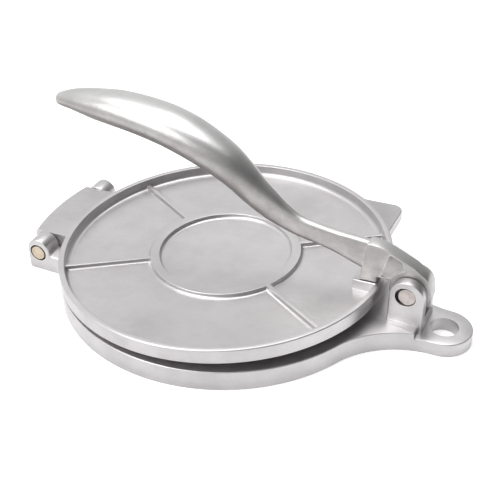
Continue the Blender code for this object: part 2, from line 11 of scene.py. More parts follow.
import bpy
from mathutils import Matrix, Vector

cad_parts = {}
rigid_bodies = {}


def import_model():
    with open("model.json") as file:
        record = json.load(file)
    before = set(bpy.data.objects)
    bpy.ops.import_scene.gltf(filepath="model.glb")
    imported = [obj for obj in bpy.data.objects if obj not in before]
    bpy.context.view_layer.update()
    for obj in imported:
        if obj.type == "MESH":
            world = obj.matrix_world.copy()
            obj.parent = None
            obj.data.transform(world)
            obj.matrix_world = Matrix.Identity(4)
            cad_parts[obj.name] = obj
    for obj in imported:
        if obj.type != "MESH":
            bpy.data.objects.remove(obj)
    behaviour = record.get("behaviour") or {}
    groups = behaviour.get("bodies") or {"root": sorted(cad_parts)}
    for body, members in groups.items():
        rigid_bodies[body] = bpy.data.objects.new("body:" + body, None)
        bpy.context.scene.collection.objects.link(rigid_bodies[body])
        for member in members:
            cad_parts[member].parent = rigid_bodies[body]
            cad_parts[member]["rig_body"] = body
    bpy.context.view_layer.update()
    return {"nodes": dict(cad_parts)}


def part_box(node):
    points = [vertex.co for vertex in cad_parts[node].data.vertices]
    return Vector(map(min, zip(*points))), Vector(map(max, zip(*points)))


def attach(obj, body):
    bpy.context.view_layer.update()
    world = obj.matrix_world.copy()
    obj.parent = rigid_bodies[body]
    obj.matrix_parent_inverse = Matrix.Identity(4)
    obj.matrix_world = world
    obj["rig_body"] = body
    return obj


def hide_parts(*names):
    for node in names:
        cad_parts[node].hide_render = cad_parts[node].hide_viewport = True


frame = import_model()
nodes = frame["nodes"]
print("loaded", sorted(nodes))

# %% [markdown]
# ## Camera
# The photograph was taken from the front right, about 35 degrees above the table. A long lens
# keeps the far hinge nearly as large as the near lug, so the camera stands well back.

# %% Camera
CAMERA_TURN = radians(25.0)
CAMERA_RISE = radians(35.1)
CAMERA_DISTANCE = 0.650
CAMERA_AIM = Vector((0.0, 0.034, 0.0))
CAMERA_LENS = 73.06       # millimetres, on a sensor 36 mm wide
CAMERA_ROLL = radians(-0.15)

level = cos(CAMERA_RISE)
sight = Vector((sin(CAMERA_TURN) * level, -cos(CAMERA_TURN) * level, sin(CAMERA_RISE)))
lens = bpy.data.cameras.new("camera")
lens.lens = CAMERA_LENS
lens.sensor_width = 36.0
lens.clip_start = 0.01
lens.clip_end = 20.0
camera = bpy.data.objects.new("camera", lens)
bpy.context.scene.collection.objects.link(camera)
camera.location = CAMERA_AIM + sight * CAMERA_DISTANCE
camera.rotation_euler = sight.to_track_quat("Z", "Y").to_euler()
camera.rotation_euler.rotate_axis("Z", CAMERA_ROLL)
bpy.context.scene.camera = camera
bpy.context.scene.view_settings.view_transform = "Standard"
print("camera at", [round(value, 3) for value in camera.location])

# %% [markdown]
# ## Floor and light
# Bare metal shows what stands round it more than its own colour. The press stands on a white
# sweep, with one large soft lamp at the front left, a weaker one at the back, and a room that is
# darker towards the right, which gives the dark inner walls of the photograph.

# %% Shader helper
def wire(tree, source, output, target, entry):
    """Link an output of one node to an input of another."""
    tree.links.new(source.outputs[output], target.inputs[entry])


# %% Floor
FLOOR_WIDTH = 6.0
FLOOR_GLOW = 0.52         # with the lamps it makes the floor just white for the camera
MIRRORED_SHARE = 0.55     # how much of the glow shows in the metal

bpy.ops.object.select_all(action="DESELECT")
bpy.ops.mesh.primitive_plane_add(size=FLOOR_WIDTH, location=(0, 0, 0))
floor = bpy.context.active_object
floor.name = "floor"
paper = bpy.data.materials.new("white_sweep")
paper.use_nodes = True
paper_tree = paper.node_tree
paper_shader = paper_tree.nodes["Principled BSDF"]
paper_shader.inputs["Base Color"].default_value = (0.86, 0.86, 0.86, 1)
paper_shader.inputs["Roughness"].default_value = 0.9
paper_shader.inputs["Emission Color"].default_value = (1, 1, 1, 1)
seen = paper_tree.nodes.new("ShaderNodeLightPath")
mirrored = paper_tree.nodes.new("ShaderNodeMath")
mirrored.operation = "MULTIPLY"
mirrored.inputs[1].default_value = MIRRORED_SHARE
wire(paper_tree, seen, "Is Glossy Ray", mirrored, 0)
either = paper_tree.nodes.new("ShaderNodeMath")
either.operation = "MAXIMUM"
wire(paper_tree, seen, "Is Camera Ray", either, 0)
wire(paper_tree, mirrored, "Value", either, 1)
glow = paper_tree.nodes.new("ShaderNodeMath")
glow.operation = "MULTIPLY"
glow.inputs[1].default_value = FLOOR_GLOW
wire(paper_tree, either, "Value", glow, 0)
wire(paper_tree, glow, "Value", paper_shader, "Emission Strength")
floor.data.materials.append(paper)
print("floor", FLOOR_WIDTH, "m wide")

# %% Lamps and room
def soft_lamp(name, place, aim, width, height, power):
    """A rectangular lamp that faces a point."""
    lamp = bpy.data.lights.new(name, "AREA")
    lamp.shape = "RECTANGLE"
    lamp.size = width
    lamp.size_y = height
    lamp.energy = power
    holder = bpy.data.objects.new(name, lamp)
    bpy.context.scene.collection.objects.link(holder)
    holder.location = place
    holder.rotation_euler = (Vector(place) - Vector(aim)).to_track_quat("Z", "Y").to_euler()
    return holder


soft_lamp("front_lamp", (-0.55, -1.1, 1.15), (0, 0, 0.02), 1.1, 0.8, 14)
soft_lamp("top_lamp", (-0.2, 0.25, 1.4), (0, 0, 0), 1.2, 1.0, 9)

room = bpy.data.worlds.new("room")
bpy.context.scene.world = room
room.use_nodes = True
room_tree = room.node_tree
backdrop = room_tree.nodes["Background"]
where = room_tree.nodes.new("ShaderNodeTexCoord")
apart = room_tree.nodes.new("ShaderNodeSeparateXYZ")
wire(room_tree, where, "Generated", apart, "Vector")
side = room_tree.nodes.new("ShaderNodeMapRange")
side.interpolation_type = "SMOOTHSTEP"
side.inputs["From Min"].default_value = -0.5
side.inputs["From Max"].default_value = 0.9
side.inputs["To Min"].default_value = 0.80
side.inputs["To Max"].default_value = 0.12
wire(room_tree, apart, "X", side, "Value")
wire(room_tree, side, "Result", backdrop, "Color")
backdrop.inputs["Strength"].default_value = 1.0
print("lamps and room set")

# %% [markdown]
# ## Finishes
# Cast aluminium is never one flat grey. It has a fine grain from the sand, cloudy patches where the
# metal cooled, sanding marks on the faces that were cleaned, and bright worn edges, which also carry
# a painted highlight. Each of these is a node group here, built once and mixed into every metal with
# its own values, beside a group that paints light and shade by the way a face looks, and one for
# smudges. They read the piece's own coordinates, so the marks move with the piece.

# %% Node helpers
def put(tree, kind, inputs=None, **settings):
    """A new node: settings first, then each input gets a value or a link from (node, output)."""
    made = tree.nodes.new("ShaderNode" + kind)
    for key, value in settings.items():
        setattr(made, key, value)
    for entry, value in (inputs or {}).items():
        if isinstance(value, tuple) and isinstance(value[0], bpy.types.Node):
            tree.links.new(value[0].outputs[value[1]], made.inputs[entry])
        else:
            made.inputs[entry].default_value = value
    return made


def new_group(name, entries, results):
    """An empty node group with named inputs and outputs."""
    tree = bpy.data.node_groups.new(name, "ShaderNodeTree")
    for entry, kind in entries.items():
        tree.interface.new_socket(name=entry, in_out="INPUT", socket_type=kind)
    for result in results:
        tree.interface.new_socket(name=result, in_out="OUTPUT", socket_type="NodeSocketFloat")
    return tree, tree.nodes.new("NodeGroupInput"), tree.nodes.new("NodeGroupOutput")


def ramp(tree, source, low, high, start=0.0, stop=1.0):
    """A value between two limits, spread smoothly over a new range."""
    return put(tree, "MapRange", {
        "Value": source, "From Min": low, "From Max": high, "To Min": start, "To Max": stop,
    }, interpolation_type="SMOOTHSTEP")


def reckon(tree, how, first, second):
    """One sum, product or other mathematics step."""
    return put(tree, "Math", {0: first, 1: second}, operation=how)


# %% Grain, clouds and sanding marks
skin, skin_in, skin_out = new_group(
    "cast_skin", {"Cloud Scale": "NodeSocketFloat", "Mark Scale": "NodeSocketFloat"},
    ["Grain", "Clouds", "Marks"])
spot = put(skin, "TexCoord")
grain = put(skin, "TexNoise", {"Vector": (spot, "Object"), "Scale": 1500.0, "Detail": 3.0})
clouds = put(skin, "TexNoise", {"Vector": (spot, "Object"), "Scale": (skin_in, "Cloud Scale"),
                                "Detail": 6.0, "Roughness": 0.62})
spread = ramp(skin, (clouds, "Fac"), 0.36, 0.66)
stretched = put(skin, "Mapping", {"Vector": (spot, "Object"), "Rotation": (0, 0, 0.35),
                                  "Scale": (1.0, 16.0, 16.0)})
marks = put(skin, "TexNoise", {"Vector": (stretched, "Vector"), "Scale": (skin_in, "Mark Scale"),
                               "Detail": 4.0, "Roughness": 0.7})
wire(skin, grain, "Fac", skin_out, "Grain")
wire(skin, spread, "Result", skin_out, "Clouds")
wire(skin, marks, "Fac", skin_out, "Marks")
print("cast_skin group with", len(skin.nodes), "nodes")

# %% Worn edges with a painted highlight
wear_and_highlight, wear_and_highlight_in, wear_and_highlight_out = new_group("edge_wear_and_highlight", {"Sharpness": "NodeSocketFloat"}, ["Wear and Highlight"])
shape = put(wear_and_highlight, "NewGeometry")
rounded_off = put(wear_and_highlight, "Bevel", {"Radius": 0.0010}, samples=6)
alike = put(wear_and_highlight, "VectorMath", {0: (rounded_off, "Normal"), 1: (shape, "True Normal")},
            operation="DOT_PRODUCT")
unlike = reckon(wear_and_highlight, "SUBTRACT", 1.0, (alike, "Value"))
edge = put(wear_and_highlight, "MapRange", {"Value": (unlike, "Value"), "From Min": 0.015,
                              "From Max": (wear_and_highlight_in, "Sharpness")}, interpolation_type="SMOOTHSTEP")
place = put(wear_and_highlight, "TexCoord")
patches = put(wear_and_highlight, "TexNoise", {"Vector": (place, "Object"), "Scale": 240.0, "Detail": 3.0})
broken = ramp(wear_and_highlight, (patches, "Fac"), 0.30, 0.55, 0.35, 1.0)
wear_and_highlight_mask = reckon(wear_and_highlight, "MULTIPLY", (edge, "Result"), (broken, "Result"))
wire(wear_and_highlight, wear_and_highlight_mask, "Value", wear_and_highlight_out, "Wear and Highlight")
print("edge_wear_and_highlight group with", len(wear_and_highlight.nodes), "nodes")

# %% Painted shade by which way a face looks
facing_shade, _, facing_shade_out = new_group("facing_shade", {}, ["Up", "Down", "Side"])
looks = put(facing_shade, "TexCoord")
axes = put(facing_shade, "SeparateXYZ", {"Vector": (looks, "Normal")})
# These masks paint light on tops and shade on undersides and flanks, through each metal's weights.
upward = ramp(facing_shade, (axes, "Z"), 0.35, 0.90)
downward = ramp(facing_shade, (axes, "Z"), 0.05, -0.55)
flank = put(facing_shade, "Math", {0: (axes, "Y")}, operation="ABSOLUTE")
sideward = ramp(facing_shade, (flank, "Value"), 0.45, 0.95)
wire(facing_shade, upward, "Result", facing_shade_out, "Up")
wire(facing_shade, downward, "Result", facing_shade_out, "Down")
wire(facing_shade, sideward, "Result", facing_shade_out, "Side")
print("facing group with", len(facing_shade.nodes), "nodes")

# %% Smudges and painted corner shade
smudge_and_shade, smudge_and_shade_in, smudge_and_shade_out = new_group(
    "smudge_and_shade", {"Centre": "NodeSocketVector", "Size": "NodeSocketFloat"}, ["Mask"])
here = put(smudge_and_shade, "TexCoord")
ragged = put(smudge_and_shade, "TexNoise", {"Vector": (here, "Object"), "Scale": 70.0, "Detail": 5.0})
away = put(smudge_and_shade, "VectorMath", {0: (here, "Object"), 1: (smudge_and_shade_in, "Centre")}, operation="DISTANCE")
share = reckon(smudge_and_shade, "DIVIDE", (away, "Value"), (smudge_and_shade_in, "Size"))
uneven = reckon(smudge_and_shade, "ADD", (share, "Value"), (ragged, "Fac"))
patch = ramp(smudge_and_shade, (uneven, "Value"), 1.5, 0.6)
wire(smudge_and_shade, patch, "Result", smudge_and_shade_out, "Mask")
print("smudge group with", len(smudge_and_shade.nodes), "nodes")

# %% [markdown]
# ### One recipe for every metal
# A metal mixes a clean colour with a dull, shaded one, and then brightens its worn edges, which also
# paints a highlight on them. How dull and shaded a spot is comes from the clouds, the marks, the
# grain, the way the face looks, which paints shade on undersides and flanks and light on tops, and
# any smudges, one of them a painted corner shadow. The same value makes the spot rougher, and the
# grain and the marks raise a very low relief.

# %% Metal recipe
def use(tree, group, inputs=None):
    """A node group placed in a material."""
    made = tree.nodes.new("ShaderNodeGroup")
    made.node_tree = group
    for entry, value in (inputs or {}).items():
        made.inputs[entry].default_value = value
    return made


def weighed(tree, parts):
    """A sum of several values, each with its weight."""
    total = reckon(tree, "MULTIPLY", parts[0][0], parts[0][1])
    for source, weight in parts[1:]:
        total = put(tree, "Math", {0: source, 1: weight, 2: (total, "Value")}, operation="MULTIPLY_ADD")
    return total


def metal(name, clean, dull_shaded_colour, worn_and_highlight, smooth, rough, weights, relief, clouds=55.0, smudges_and_shade=()):
    """A Principled metal: grain, clouds, marks, smudges, painted shade, wear, painted highlight."""
    made = bpy.data.materials.new(name)
    made.use_nodes = True
    tree = made.node_tree
    shader = tree.nodes["Principled BSDF"]
    shader.inputs["Metallic"].default_value = 1.0
    surface = use(tree, skin, {"Cloud Scale": clouds, "Mark Scale": 60.0})
    face_shade = use(tree, facing_shade)
    wear_and_highlight_mask = use(tree, wear_and_highlight, {"Sharpness": 0.12})
    # The facing masks paint light and shade into the colour; one smudge is a painted corner shadow.
    parts = [((surface, "Clouds"), weights["clouds"]), ((surface, "Marks"), weights["marks"]),
             ((surface, "Grain"), weights["grain"]), ((face_shade, "Down"), weights["down"]),
             ((face_shade, "Side"), weights["side"]), ((face_shade, "Up"), weights["up"])]
    for centre, size, weight in smudges_and_shade:
        parts.append(((use(tree, smudge_and_shade, {"Centre": centre, "Size": size}), "Mask"), weight))
    dullness_and_shade = put(tree, "Clamp", {"Value": (weighed(tree, parts), "Value")})
    skin_and_shade_colour = put(tree, "MixRGB", {
        "Fac": (dullness_and_shade, "Result"), "Color1": (*clean, 1), "Color2": (*dull_shaded_colour, 1)})
    # Sharp edges are brightened: partly real wear, partly a painted highlight.
    edge_share = reckon(tree, "MULTIPLY", (wear_and_highlight_mask, "Wear and Highlight"), 0.75)
    colour = put(tree, "MixRGB", {
        "Fac": (edge_share, "Value"), "Color1": (skin_and_shade_colour, "Color"), "Color2": (*worn_and_highlight, 1)})
    wire(tree, colour, "Color", shader, "Base Color")
    roughness = put(tree, "MapRange", {"Value": (dullness_and_shade, "Result"), "To Min": smooth, "To Max": rough})
    wire(tree, roughness, "Result", shader, "Roughness")
    height = weighed(tree, [((surface, "Grain"), 0.5), ((surface, "Marks"), 0.5)])
    bump = put(tree, "Bump", {"Strength": relief, "Distance": 0.0003, "Height": (height, "Value")})
    wire(tree, bump, "Normal", shader, "Normal")
    print(name, "with", len(tree.nodes), "nodes")
    return made


# %% [markdown]
# The two plates are left as sanded castings, with painted light on their tops and painted shade on
# their walls and undersides. A few dull patches darken them; the strongest, where the back left rib
# meets the rim, is a painted corner shadow. The lever is polished along its top, which is lightened
# with painted light, while its underside and flanks are darkened with strong painted shade. The pins
# are plain steel, one of them warm with age, with a little painted shade underneath.

# %% The four metals
# Weights down and side paint shade on undersides and flanks; up paints light on tops.
PLATE_WEIGHTS = {"clouds": 0.15, "marks": 0.16, "grain": 0.10, "down": 0.30, "side": 0.24, "up": -0.10}
LEVER_WEIGHTS = {"clouds": 0.20, "marks": 0.14, "grain": 0.22, "down": 0.80, "side": 0.34, "up": -0.25}
PIN_WEIGHTS = {"clouds": 0.45, "marks": 0.30, "grain": 0.20, "down": 0.10, "side": 0.0, "up": 0.0}
# Patches: centre, size, weight; the third is a painted shadow where the back left rib meets the rim.
SMUDGES_AND_CORNER_SHADE = (
    ((0.071, -0.027, 0.018), 0.020, 0.35),
    ((-0.010, -0.080, 0.016), 0.022, 0.28),
    ((-0.079, 0.048, 0.015), 0.012, 0.55),
    ((0.020, 0.060, 0.018), 0.024, 0.15),
)

satin = metal("satin_casting", (0.72, 0.705, 0.71), (0.34, 0.325, 0.33), (0.86, 0.86, 0.85),
              0.34, 0.52, PLATE_WEIGHTS, 0.22, smudges_and_shade=SMUDGES_AND_CORNER_SHADE)
bright = metal("bright_casting", (0.72, 0.715, 0.71), (0.25, 0.235, 0.23), (0.92, 0.92, 0.91),
               0.31, 0.52, LEVER_WEIGHTS, 0.30, clouds=70.0)
warm_steel = metal("warm_steel", (0.66, 0.57, 0.46), (0.34, 0.27, 0.20), (0.78, 0.72, 0.64),
                   0.34, 0.58, PIN_WEIGHTS, 0.30, clouds=190.0)
pale_steel = metal("pale_steel", (0.66, 0.61, 0.59), (0.38, 0.33, 0.31), (0.80, 0.77, 0.75),
                   0.32, 0.55, PIN_WEIGHTS, 0.30, clouds=190.0)

# %% [markdown]
# ## Drawing by hand
# A casting's outline is drawn as a person would: one point is placed, and extruded again and again
# along the outline. The closed line is filled and pulled to its depth, or spun round an axis. Real
# castings have no sharp corner, so each corner of an outline carries its own radius.

# %% Drawing helpers
MERGE = 0.000002          # points nearer than this are one
SEED = 0.001              # size of the plane that is merged to the first point
BLUNT = radians(50)       # on angular pieces only edges sharper than this are rounded


def clear_selection():
    """Leave edit mode and select nothing."""
    if bpy.context.object and bpy.context.object.mode != "OBJECT":
        bpy.ops.object.mode_set(mode="OBJECT")
    bpy.ops.object.select_all(action="DESELECT")


def take(piece):
    """Make a piece the only selected object."""
    clear_selection()
    piece.select_set(True)
    bpy.context.view_layer.objects.active = piece


def draw_line(name, points, closed):
    """Draw a line by extruding one point, and leave it in edit mode."""
    clear_selection()
    bpy.ops.mesh.primitive_plane_add(size=SEED, location=(0, 0, 0))
    piece = bpy.context.active_object
    piece.name = name
    piece.data.name = name
    bpy.ops.object.mode_set(mode="EDIT")
    bpy.ops.mesh.select_all(action="SELECT")
    bpy.ops.mesh.merge(type="CENTER")
    bpy.ops.transform.translate(value=points[0])
    path = points + points[:1] if closed else points
    for last, point in zip(path, path[1:]):
        bpy.ops.mesh.extrude_region_move(TRANSFORM_OT_translate={"value": Vector(point) - Vector(last)})
    bpy.ops.mesh.select_all(action="SELECT")
    bpy.ops.mesh.remove_doubles(threshold=MERGE)
    return piece


def tidy_faces():
    """Merge what touches, point all faces outwards and leave edit mode."""
    bpy.ops.mesh.select_all(action="SELECT")
    bpy.ops.mesh.remove_doubles(threshold=MERGE)
    bpy.ops.mesh.normals_make_consistent(inside=False)
    bpy.ops.object.mode_set(mode="OBJECT")


# %% Solids from outlines
def slab(name, points, depth):
    """A filled outline pulled along a direction."""
    piece = draw_line(name, points, True)
    bpy.ops.mesh.edge_face_add()
    bpy.ops.mesh.extrude_region_move(TRANSFORM_OT_translate={"value": depth})
    tidy_faces()
    return piece


def spun(name, line, turns, closed=False):
    """A half section of radius and height, spun round the upright axis."""
    piece = draw_line(name, [(radius, 0, height) for radius, height in line], closed)
    bpy.ops.mesh.spin(steps=turns, angle=2 * pi, center=(0, 0, 0), axis=(0, 0, 1))
    tidy_faces()
    return piece


def side_view(line, across):
    """Points of an outline drawn from the side, at a place in depth."""
    return [(along, across, high) for along, high in line]


def plan_view(line, height):
    """Points of an outline drawn from above, at a height."""
    return [(along, deep, height) for along, deep in line]


def arc(centre, radius, start, end, step=radians(4)):
    """Points of an arc, ends included."""
    count = max(2, ceil(abs(end - start) / step))
    angles = [start + (end - start) * index / count for index in range(count + 1)]
    return [(centre[0] + radius * cos(angle), centre[1] + radius * sin(angle)) for angle in angles]


def rounded(corners, closed=True, steps=4):
    """Corners with a radius each, as a line that is rounded there."""
    line = []
    for index, (along, high, radius) in enumerate(corners):
        here = Vector((along, high))
        if not radius or (not closed and index in (0, len(corners) - 1)):
            line.append((along, high))
            continue
        into = (Vector(corners[index - 1][:2]) - here).normalized()
        out = (Vector(corners[(index + 1) % len(corners)][:2]) - here).normalized()
        half = into.angle(out) / 2
        centre = here + (into + out).normalized() * radius / sin(half)
        start = here + into * radius / tan(half) - centre
        end = here + out * radius / tan(half) - centre
        for step in range(steps + 1):
            arm = start.lerp(end, step / steps).normalized() * radius
            line.append(tuple(centre + arm))
    return line


# %% Joining helpers
def apply_all(piece):
    """Apply a piece's modifiers."""
    take(piece)
    for change in list(piece.modifiers):
        bpy.ops.object.modifier_apply(modifier=change.name)


def fuse(piece, tool, how):
    """Weld a tool to a piece, or cut it away."""
    change = piece.modifiers.new(how, "BOOLEAN")
    change.operation = how
    change.solver = "EXACT"
    change.object = tool
    apply_all(piece)
    bpy.data.objects.remove(tool)


def weld(piece, *tools):
    """Weld several tools to a piece."""
    for tool in tools:
        fuse(piece, tool, "UNION")


def carve(piece, *tools):
    """Cut several tools out of a piece."""
    for tool in tools:
        fuse(piece, tool, "DIFFERENCE")


def soften(piece, width, steps=3, angle=radians(40)):
    """Round a piece's sharp edges and hollow corners."""
    change = piece.modifiers.new("soften", "BEVEL")
    change.width = width
    change.segments = steps
    change.limit_method = "ANGLE"
    change.angle_limit = angle
    apply_all(piece)
    return piece


def rod(name, radius, centre, length, sideways=True, facets=64):
    """A round bar, lying across the press or standing."""
    clear_selection()
    turn = (pi / 2, 0, 0) if sideways else (0, 0, 0)
    bpy.ops.mesh.primitive_cylinder_add(
        vertices=facets, radius=radius, depth=length, location=centre, rotation=turn)
    piece = bpy.context.active_object
    piece.name = name
    bpy.ops.object.transform_apply(location=True, rotation=True, scale=True)
    return piece


def box_between(name, low, high):
    """A box between two corners."""
    clear_selection()
    middle = [(first + last) / 2 for first, last in zip(low, high)]
    bpy.ops.mesh.primitive_cube_add(size=1, location=middle)
    piece = bpy.context.active_object
    piece.name = name
    piece.scale = [last - first for first, last in zip(low, high)]
    bpy.ops.object.transform_apply(location=True, rotation=True, scale=True)
    return piece


def settle(piece, node, finish, smooth=radians(38)):
    """Finish a piece: smooth faces, a metal, the node it stands for and the body it rides on."""
    take(piece)
    bpy.ops.object.shade_smooth_by_angle(angle=smooth)
    piece.data.materials.clear()
    piece.data.materials.append(finish)
    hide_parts(node)
    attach(piece, nodes[node]["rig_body"])
    low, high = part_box(node)
    points = piece.data.vertices
    reach = [max(point.co[axis] for point in points) - high[axis] for axis in range(3)]
    under = [low[axis] - min(point.co[axis] for point in points) for axis in range(3)]
    print(piece.name, len(piece.data.polygons), "faces, past the solid by mm",
          [round(1000 * value, 2) for value in reach + under])
    return piece

# %% [markdown]
# ## Top plate
# The top casting is a shallow tray. Its rim, the hollow along the rim's foot and the raised ring
# are all round, so one half section makes them: it is drawn with its soft corners and spun.

# %% Tray, rim and ring
PLATE_RADIUS = 0.100
BASE_HEIGHT = 0.0127
PLAY = 0.0003             # between pieces that touch or turn in one another
HINGE_REACH = 0.1103
HINGE_HEIGHT = 0.0122
LID_OPEN = radians(2.41)
LID_HEIGHT = 0.0087
LID_FLOOR = 0.0025
RIM_TOP = 0.0027
RING_RADIUS = 0.04275
RING_FOOT = 0.00345       # half width of the ring at the floor
RING_CREST = 0.00275
RIB_FOOT = 0.0019
RIB_CREST = 0.0013
RIB_HEIGHT = 0.0025
ROUND_TURNS = 224

lid_under = BASE_HEIGHT + PLAY - (HINGE_REACH - PLATE_RADIUS) * tan(LID_OPEN)
lid_top = lid_under + LID_HEIGHT
lid_floor = lid_under + LID_FLOOR
lid = spun("top_casting", rounded([
    (0, lid_floor, 0),
    (RING_RADIUS - RING_FOOT - 0.0015, lid_floor, 0.0001),
    (RING_RADIUS - RING_FOOT - 0.0014, lid_floor + 0.00008, 0.0001),
    (RING_RADIUS - RING_FOOT, lid_floor + 0.0001, 0.0016),
    (RING_RADIUS - RING_CREST, lid_floor + RIB_HEIGHT, 0.0004),
    (RING_RADIUS + RING_CREST, lid_floor + RIB_HEIGHT, 0.0004),
    (RING_RADIUS + RING_FOOT, lid_floor + 0.0001, 0.0016),
    (RING_RADIUS + RING_FOOT + 0.0014, lid_floor + 0.00008, 0.0001),
    (RING_RADIUS + RING_FOOT + 0.0015, lid_floor, 0.0001),
    (0.0930, lid_floor, 0.0001),
    (0.0931, lid_floor + 0.00012, 0.0001),
    (0.0956, lid_floor + 0.00015, 0.0024),
    (0.0965, lid_top, 0.0004),
    (PLATE_RADIUS, lid_top, 0.0008),
    (PLATE_RADIUS, lid_under, 0.0004),
    (0, lid_under, 0),
], closed=False), ROUND_TURNS)
print("tray with", len(lid.data.polygons), "faces")

# %% [markdown]
# Four ribs run from the ring to the rim. Each is a short bar with a soft crest and a flared foot,
# so that it seems poured with the floor. Its section is drawn across its own direction.

# %% Ribs
RIB_TURN = radians(31.5)
RIB_FLARE = 0.0014


def rib(turn):
    """One rib, from the middle of the ring into the rim."""
    along = Vector((cos(turn), sin(turn), 0))
    across = Vector((-sin(turn), cos(turn), 0))
    half = [
        (RIB_CREST, lid_floor + RIB_HEIGHT - 0.0001, 0.0004),
        (RIB_FOOT, lid_floor + 0.0001, 0.0012),
        (RIB_FOOT + RIB_FLARE, lid_floor + 0.00003, 0),
        (RIB_FOOT + RIB_FLARE, lid_floor - LID_FLOOR / 2, 0),
    ]
    section = rounded(half + [(-wide, high, radius) for wide, high, radius in reversed(half)])
    start = along * RING_RADIUS
    points = [start + across * wide + Vector((0, 0, high)) for wide, high in section]
    return slab("rib", points, along * (PLATE_RADIUS - RIM_TOP - RING_RADIUS))


weld(lid, *[rib(turn) for turn in (RIB_TURN, pi - RIB_TURN, pi + RIB_TURN, -RIB_TURN)])
print("ribs welded,", len(lid.data.polygons), "faces")

# %% [markdown]
# A wide tongue reaches out of the rim on the left and turns between the ears of the base. A small
# corner stands out at the back right for the fingers, and the lever's foot pushes on a raised pad.

# %% Tongue, finger tab and pad
TONGUE_HALF = 0.028
BARREL_RADIUS = 0.008
TONGUE_CORNER = 0.0024
CORNER_START = radians(60)
OVERRUN = 0.002           # how far a cutter passes the face that it leaves
HINGE_PIN = 0.0047

tongue_inner = -sqrt(PLATE_RADIUS ** 2 - TONGUE_HALF ** 2) + 2 * RIM_TOP
tongue_reach = sqrt((HINGE_REACH + BARREL_RADIUS) ** 2 + TONGUE_HALF ** 2)
tongue_top = lid_top - 0.0001
tongue_line = [(tongue_inner, tongue_top), (-tongue_reach - OVERRUN, tongue_top)]
tongue_line += [(-tongue_reach - OVERRUN, HINGE_HEIGHT)]
tongue_line += arc((-HINGE_REACH, HINGE_HEIGHT), BARREL_RADIUS, pi, 2 * pi, radians(7))
tongue_line += [(tongue_inner, lid_under + 0.0001)]
tongue = slab("tongue", side_view(tongue_line, -TONGUE_HALF), (0, 2 * TONGUE_HALF, 0))
bend = (tongue_reach - TONGUE_CORNER, tongue_top - TONGUE_CORNER)
corner = arc(bend, TONGUE_CORNER, CORNER_START, 0, radians(10))
over = tongue_top + OVERRUN
start = corner[0][0] - (over - corner[0][1]) * tan(CORNER_START)
end_line = [(0, over), (start, over)] + corner + [(tongue_reach, 0), (0, 0)]
fuse(tongue, spun("tongue_end", end_line, ROUND_TURNS), "INTERSECT")
soften(tongue, 0.0006, 3, BLUNT)
carve(tongue, rod("clear", PLATE_RADIUS - RIM_TOP / 2, (0, 0, lid_top), 0.02, False, ROUND_TURNS))

TAB_REACH = 0.0866
TAB_CORNER = 0.007
TAB_DEPTH = 0.080
TAB_THICK = 0.0065
low = asin(sqrt(PLATE_RADIUS ** 2 - TAB_REACH ** 2) / PLATE_RADIUS)
high = asin(TAB_DEPTH / PLATE_RADIUS)
tab_line = [(TAB_REACH, PLATE_RADIUS * sin(low))]
tab_line += arc((TAB_REACH - TAB_CORNER, TAB_DEPTH - TAB_CORNER), TAB_CORNER, 0, pi / 2, radians(8))
tab_line += [(PLATE_RADIUS * cos(high), TAB_DEPTH)]
tab_line += arc((0, 0), PLATE_RADIUS - RIM_TOP / 2, high, low, radians(3))
tab = slab("tab", plan_view(tab_line, lid_top - 0.0001), (0, 0, -TAB_THICK))
soften(tab, 0.0007, 3, BLUNT)

pad = box_between("pad", (0.0825, -0.006, lid_floor - 0.001), (0.0973, 0.006, lid_top - 0.0002))
for vertex in pad.data.vertices:
    if vertex.co.z > lid_floor:
        vertex.co.y *= 0.88
        vertex.co.x += 0.0005 if vertex.co.x < 0.09 else 0
soften(pad, 0.0006, 3)

weld(lid, tongue, tab, pad)
carve(lid, rod("bore", HINGE_PIN + PLAY, (-HINGE_REACH, 0, HINGE_HEIGHT), 0.06))
print("top casting has", len(lid.data.polygons), "faces")

# %% [markdown]
# The plate was modelled level, because its sections are easier to draw that way. On the real press
# it leans on the base at the hinge and stands a little open, so it is turned about its hinge pin.

# %% Lean the plate on its hinge
take(lid)
bpy.ops.object.mode_set(mode="EDIT")
bpy.ops.mesh.select_all(action="SELECT")
bpy.ops.transform.rotate(
    value=LID_OPEN, orient_axis="Y", center_override=(-HINGE_REACH, 0, HINGE_HEIGHT))
bpy.ops.object.mode_set(mode="OBJECT")
settle(lid, "top_plate", satin)

# %% [markdown]
# ## Base
# The base is a round plate that runs out into a neck with a hanging hole. Two hollow curves join
# the round edge to the neck, so the whole outline is drawn in one line and pulled up. The end is
# cut lower, and the edges are rounded as a sand casting's are.

# %% Plate, neck and lug
LUG_REACH = 0.1368
LUG_RADIUS = 0.016
LUG_HEIGHT = 0.0089
NECK_REACH = 0.1242
STEP_HALF = 0.02          # the box that cuts the step passes the neck on all sides
STEP_END = 0.16
STEP_OVER = 0.02

hollow = (LUG_REACH ** 2 + LUG_RADIUS ** 2 - PLATE_RADIUS ** 2) / (2 * (PLATE_RADIUS - LUG_RADIUS))
leave = atan2(LUG_RADIUS + hollow, LUG_REACH)
lower = arc((LUG_REACH, -LUG_RADIUS - hollow), hollow, pi - leave, pi / 2, radians(3.1))
base_line = arc((0, 0), PLATE_RADIUS, leave, 2 * pi - leave, radians(1.6)) + lower[1:]
base_line += arc((LUG_REACH, 0), LUG_RADIUS, -pi / 2, pi / 2, radians(5))[1:-1]
base_line += [(along, -deep) for along, deep in reversed(lower)][:-1]
base = slab("base_casting", plan_view(base_line, 0), (0, 0, BASE_HEIGHT))
carve(base, box_between("step", (NECK_REACH, -STEP_HALF, LUG_HEIGHT), (STEP_END, STEP_HALF, STEP_OVER)))
soften(base, 0.0006, 3)
print("base outline of", len(base_line), "points")

